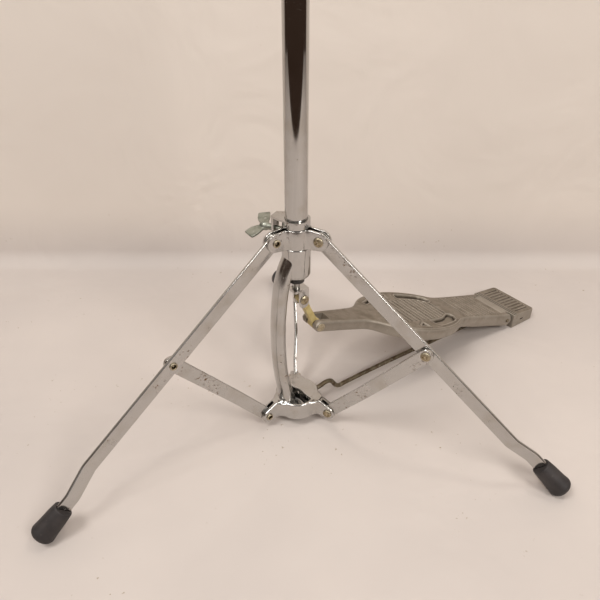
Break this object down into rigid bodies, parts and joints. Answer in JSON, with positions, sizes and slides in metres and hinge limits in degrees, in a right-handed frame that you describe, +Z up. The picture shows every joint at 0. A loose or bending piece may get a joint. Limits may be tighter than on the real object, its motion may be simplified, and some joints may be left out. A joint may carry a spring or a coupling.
{
  "type": "hi-hat stand",
  "caption": "Folding hi-hat stand with a tripod of flat bars, a cast foot pedal and a pull rod that works a clutch above a cymbal seat.",
  "frame": {"origin": "on the central tube's axis, in the flat underside of the base casting, 7 mm above the floor", "axes": "+Z up along the central tube, +X from the tube towards the heel of the pedal, +Y towards the player's left when facing the tube from the heel"},
  "size_m": [0.601, 0.452, 0.88],
  "materials": {
    "chrome_plate": "bright nickel-chrome plate with fine pitting",
    "chromed_casting": "chrome plate over a smooth casting",
    "cast_aluminium": "weathered cast aluminium, satin",
    "aged_brass": "dulled brass rivets with dark centres",
    "tarnished_steel": "tarnished brown-grey steel",
    "zinc_plate": "dull greenish zinc plate",
    "spring_steel": "plain drawn steel",
    "black_rubber": "matt black moulded rubber",
    "pale_nylon": "pale yellow nylon, slightly translucent",
    "black_nylon": "black nylon",
    "grey_felt": "pressed wool felt"
  },
  "bodies": {
    "frame": {"spine_casting": "chromed_casting", "lower_tube": "chrome_plate", "rod_bushing": "black_nylon", "height_collar": "chrome_plate", "radius_rod": "tarnished_steel", "heel_plate": "cast_aluminium", "base_rivet_left": "aged_brass", "base_rivet_right": "aged_brass", "base_rivet_back": "aged_brass"},
    "collar": {"collar_strap_front": "chrome_plate", "collar_strap_pedal": "chrome_plate", "collar_strap_clamp": "chrome_plate", "clamp_bracket": "chrome_plate", "collar_rivet_left": "aged_brass", "collar_rivet_right": "aged_brass", "collar_rivet_back": "aged_brass"},
    "collar_wing_bolt": {"collar_wing_bolt": "zinc_plate"},
    "leg_left": {"leg_left": "chrome_plate", "boot_left": "black_rubber", "knee_rivet_tail_left": "aged_brass"},
    "leg_right": {"leg_right": "chrome_plate", "boot_right": "black_rubber", "knee_rivet_tail_right": "aged_brass"},
    "leg_back": {"leg_back": "chrome_plate", "boot_back": "black_rubber", "knee_rivet_tail_back": "aged_brass"},
    "brace_left": {"brace_left": "chrome_plate", "knee_rivet_head_left": "aged_brass"},
    "brace_right": {"brace_right": "chrome_plate", "knee_rivet_head_right": "aged_brass"},
    "brace_back": {"brace_back": "chrome_plate", "knee_rivet_head_back": "aged_brass"},
    "footboard": {"footboard": "cast_aluminium", "toe_pin": "aged_brass", "heel_hinge_pin": "tarnished_steel"},
    "pull_rod": {"lower_rod": "spring_steel", "upper_rod": "chrome_plate", "rod_coupler": "spring_steel", "spring_collar": "spring_steel", "clevis": "chrome_plate", "clevis_rivet": "aged_brass", "return_spring": "spring_steel"},
    "link": {"link_strap": "pale_nylon"},
    "upper_tube": {"upper_tube": "chrome_plate", "seat_cup": "chrome_plate", "seat_felt": "grey_felt"},
    "height_wing_bolt": {"height_wing_bolt": "zinc_plate"},
    "tilt_screw": {"tilt_screw": "zinc_plate"},
    "clutch": {"clutch_sleeve": "chrome_plate", "clutch_felt_lower": "grey_felt", "clutch_felt_upper": "grey_felt", "clutch_washer": "chrome_plate", "clutch_lock_nut": "chrome_plate"},
    "clutch_bottom_nut": {"clutch_bottom_nut": "chrome_plate"},
    "clutch_wing_screw": {"clutch_wing_screw": "zinc_plate"}
  },
  "joints": [
    {"name": "collar_slide", "type": "slide", "parent": "frame", "child": "collar", "axis": [0, 0, 1], "range_m": [0, 0.0768]},
    {"name": "leg_left_hinge", "type": "hinge", "parent": "collar", "child": "leg_left", "pos_m": [-0.0221, 0, 0.1937], "axis": [0, -1, 0], "range_deg": [0, 42.3]},
    {"name": "brace_left_hinge", "type": "hinge", "parent": "frame", "child": "brace_left", "pos_m": [-0.0353, 0, 0.007], "axis": [0, -1, 0], "range_deg": [-38.3, 0]},
    {"name": "leg_right_hinge", "type": "hinge", "parent": "collar", "child": "leg_right", "pos_m": [0.01105, -0.01914, 0.1937], "axis": [0.866, 0.5, 0], "range_deg": [0, 42.3]},
    {"name": "brace_right_hinge", "type": "hinge", "parent": "frame", "child": "brace_right", "pos_m": [0.01765, -0.03057, 0.007], "axis": [0.866, 0.5, 0], "range_deg": [-38.3, 0]},
    {"name": "leg_back_hinge", "type": "hinge", "parent": "collar", "child": "leg_back", "pos_m": [0.01105, 0.01914, 0.1937], "axis": [-0.866, 0.5, 0], "range_deg": [0, 42.3]},
    {"name": "brace_back_hinge", "type": "hinge", "parent": "frame", "child": "brace_back", "pos_m": [0.01765, 0.03057, 0.007], "axis": [-0.866, 0.5, 0], "range_deg": [-38.3, 0]},
    {"name": "footboard_hinge", "type": "hinge", "parent": "frame", "child": "footboard", "pos_m": [0.2925, 0, 0.007], "axis": [0, -1, 0], "range_deg": [0, 10], "stiffness_Nm_per_rad": 3, "springref_deg": -40.11},
    {"name": "pull_rod_slide", "type": "slide", "parent": "frame", "child": "pull_rod", "axis": [0, 0, -1], "range_m": [0, 0.046], "deforming": ["return_spring"]},
    {"name": "link_hinge", "type": "hinge", "parent": "pull_rod", "child": "link", "pos_m": [0.0048, 0, 0.13], "axis": [0, 1, 0], "range_deg": [0, 21]},
    {"name": "upper_tube_slide", "type": "slide", "parent": "frame", "child": "upper_tube", "axis": [0, 0, 1], "range_m": [-0.1, 0.03]},
    {"name": "clutch_slide", "type": "slide", "parent": "pull_rod", "child": "clutch", "axis": [0, 0, 1], "range_m": [-0.01, 0.012]},
    {"name": "collar_wing_bolt_turn", "type": "hinge", "parent": "collar", "child": "collar_wing_bolt", "pos_m": [-0.013, 0.02252, 0.1965], "axis": [-0.5, 0.866, 0], "range_deg": [0, 180]},
    {"name": "height_wing_bolt_turn", "type": "hinge", "parent": "frame", "child": "height_wing_bolt", "pos_m": [-0.011, 0.01905, 0.4545], "axis": [-0.5, 0.866, 0], "range_deg": [0, 180]},
    {"name": "tilt_screw_turn", "type": "hinge", "parent": "upper_tube", "child": "tilt_screw", "pos_m": [0, -0.019, 0.68], "axis": [0, 0, -1], "range_deg": [0, 180]},
    {"name": "clutch_wing_screw_turn", "type": "hinge", "parent": "clutch", "child": "clutch_wing_screw", "pos_m": [0, -0.012, 0.846], "axis": [0, -1, 0], "range_deg": [0, 180]},
    {"name": "clutch_bottom_nut_turn", "type": "hinge", "parent": "clutch", "child": "clutch_bottom_nut", "pos_m": [0, 0, 0.796], "axis": [0, 0, -1], "range_deg": [0, 180]}
  ],
  "couplings": [
    {"joint": "leg_left_hinge", "follows": "collar_slide", "rad_per_m": 9.571},
    {"joint": "brace_left_hinge", "follows": "collar_slide", "rad_per_m": -8.649},
    {"joint": "leg_right_hinge", "follows": "collar_slide", "rad_per_m": 9.571},
    {"joint": "brace_right_hinge", "follows": "collar_slide", "rad_per_m": -8.649},
    {"joint": "leg_back_hinge", "follows": "collar_slide", "rad_per_m": 9.571},
    {"joint": "brace_back_hinge", "follows": "collar_slide", "rad_per_m": -8.649},
    {"joint": "pull_rod_slide", "follows": "footboard_hinge", "m_per_rad": 0.26},
    {"joint": "link_hinge", "follows": "footboard_hinge", "ratio": 2.05}
  ]
}
